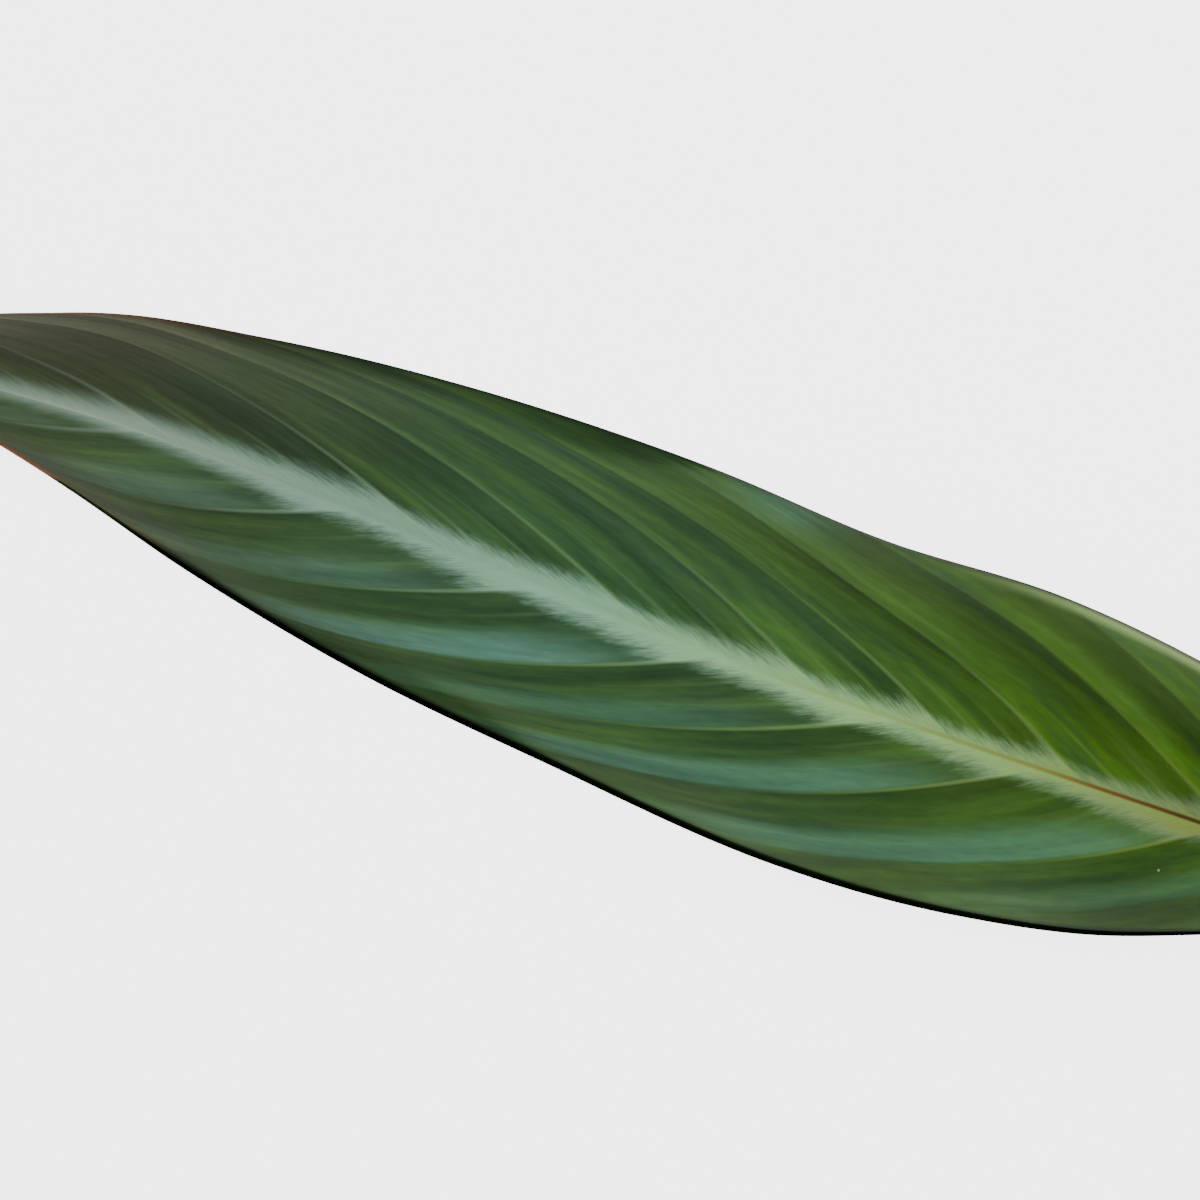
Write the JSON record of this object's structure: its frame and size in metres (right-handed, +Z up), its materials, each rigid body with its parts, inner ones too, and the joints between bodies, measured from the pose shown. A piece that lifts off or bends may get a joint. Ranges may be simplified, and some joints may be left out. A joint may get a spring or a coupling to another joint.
{
  "type": "stromanthe leaf",
  "caption": "Long lance-shaped leaf of a stromanthe, lying face up: pleated blade with a waved margin, raised midrib below, swollen joint and short cut stalk.",
  "frame": {"origin": "middle of the box round the leaf, at its foot, on the surface that it lies on", "axes": "+X from the tip along the midrib towards the cut stalk, +Z up out of the upper face, +Y towards the half that is broader near the tip"},
  "size_m": [0.4172, 0.0702, 0.0167],
  "materials": {
    "leaf": "waxy half-gloss green blade with a pale feathered midrib band above, wine red below"
  },
  "bodies": {
    "root": {"leaf": "leaf"}
  },
  "joints": []
}
